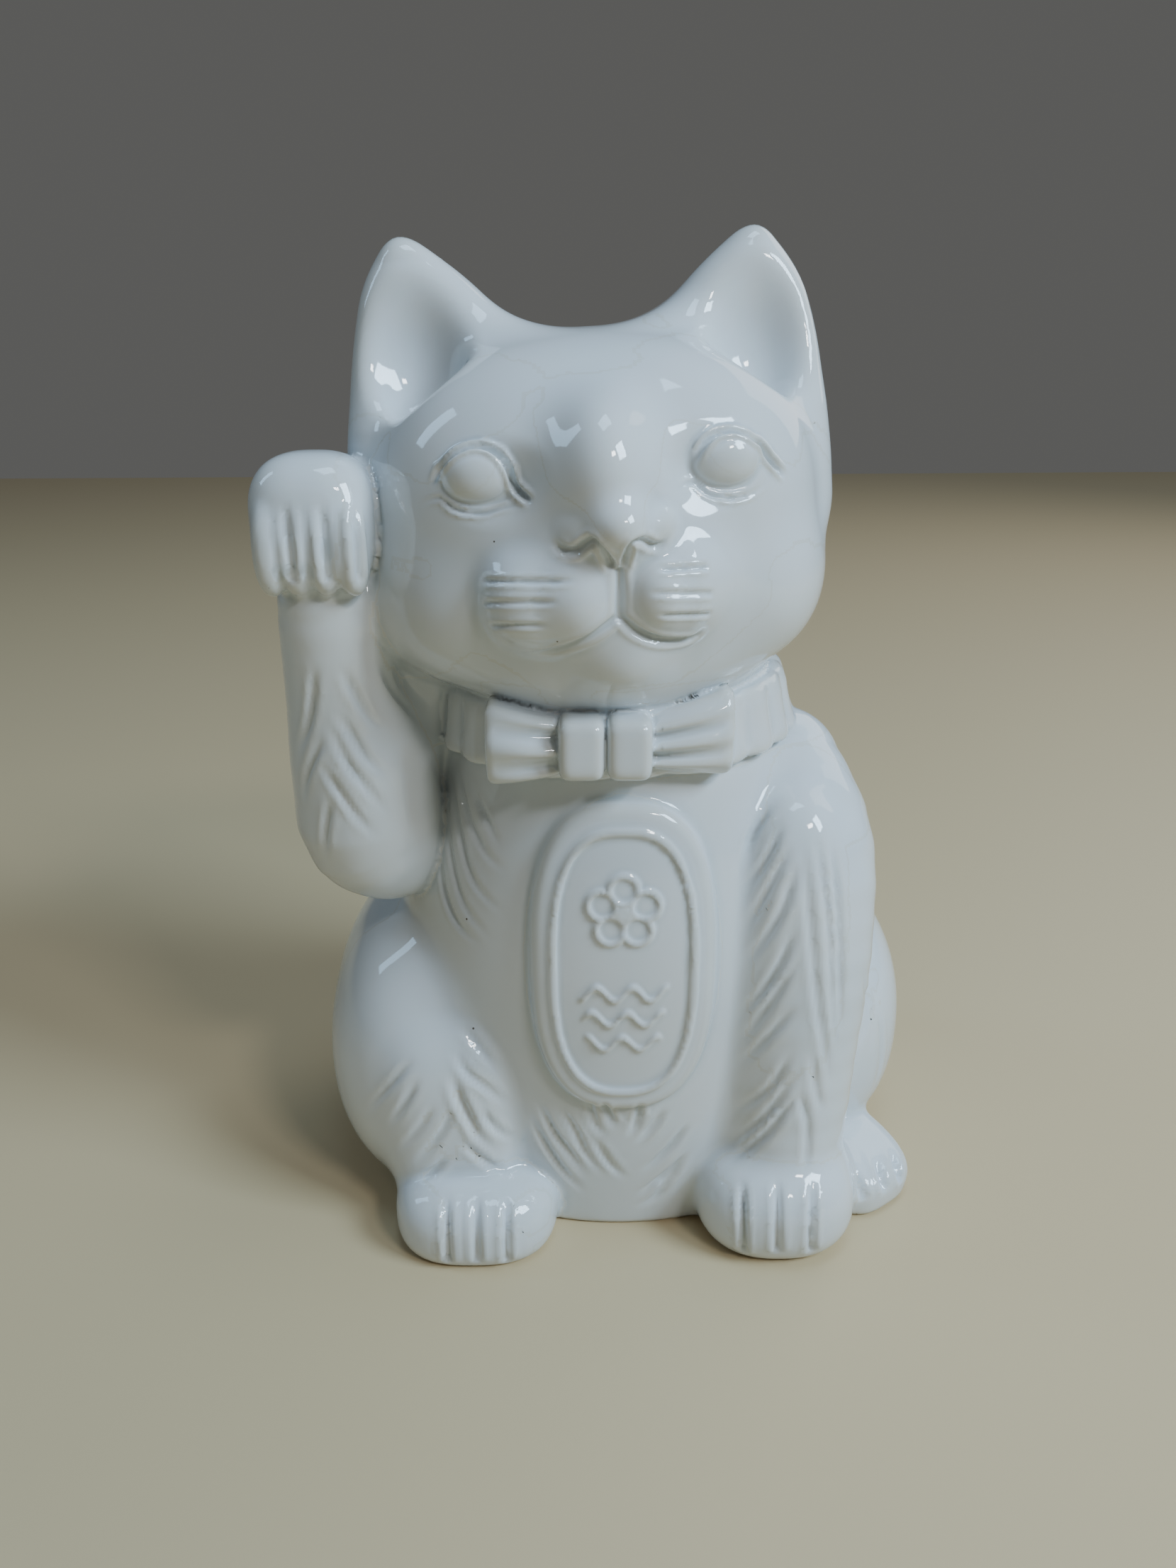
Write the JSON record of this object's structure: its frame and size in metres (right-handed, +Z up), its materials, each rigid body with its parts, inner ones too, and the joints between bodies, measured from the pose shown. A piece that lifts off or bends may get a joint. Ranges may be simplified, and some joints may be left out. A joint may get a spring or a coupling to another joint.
{
  "type": "beckoning cat figurine",
  "caption": "Seated glazed pottery cat with a raised right forepaw, a bow collar and an oval coin tablet; a coin bank with a rubber stopper underneath.",
  "frame": {"origin": "middle of the base, on the surface the cat stands on (bottom centre of the overall box)", "axes": "+Z up; the cat faces -Y; +X is to the right of someone who faces the cat, which is the cat's own left"},
  "size_m": [0.1436, 0.12, 0.212],
  "materials": {
    "white_glaze": "glossy white glaze with fine dark specks",
    "biscuit": "unglazed, matt",
    "stopper_rubber": "pale rubber, satin"
  },
  "bodies": {
    "cat": {"torso_casting": "white_glaze", "base_slab": "biscuit", "head_casting": "white_glaze", "right_ear": "white_glaze", "left_ear": "white_glaze", "raised_foreleg": "white_glaze", "standing_foreleg": "white_glaze", "right_hind_leg": "white_glaze", "left_hind_leg": "white_glaze", "tail": "white_glaze", "collar_band": "white_glaze", "collar_bow": "white_glaze", "koban_tablet": "white_glaze"},
    "stopper": {"stopper": "stopper_rubber"}
  },
  "joints": [
    {"name": "stopper_pull", "type": "slide", "parent": "cat", "child": "stopper", "axis": [0, 0, -1], "range_m": [0, 0.03]}
  ]
}
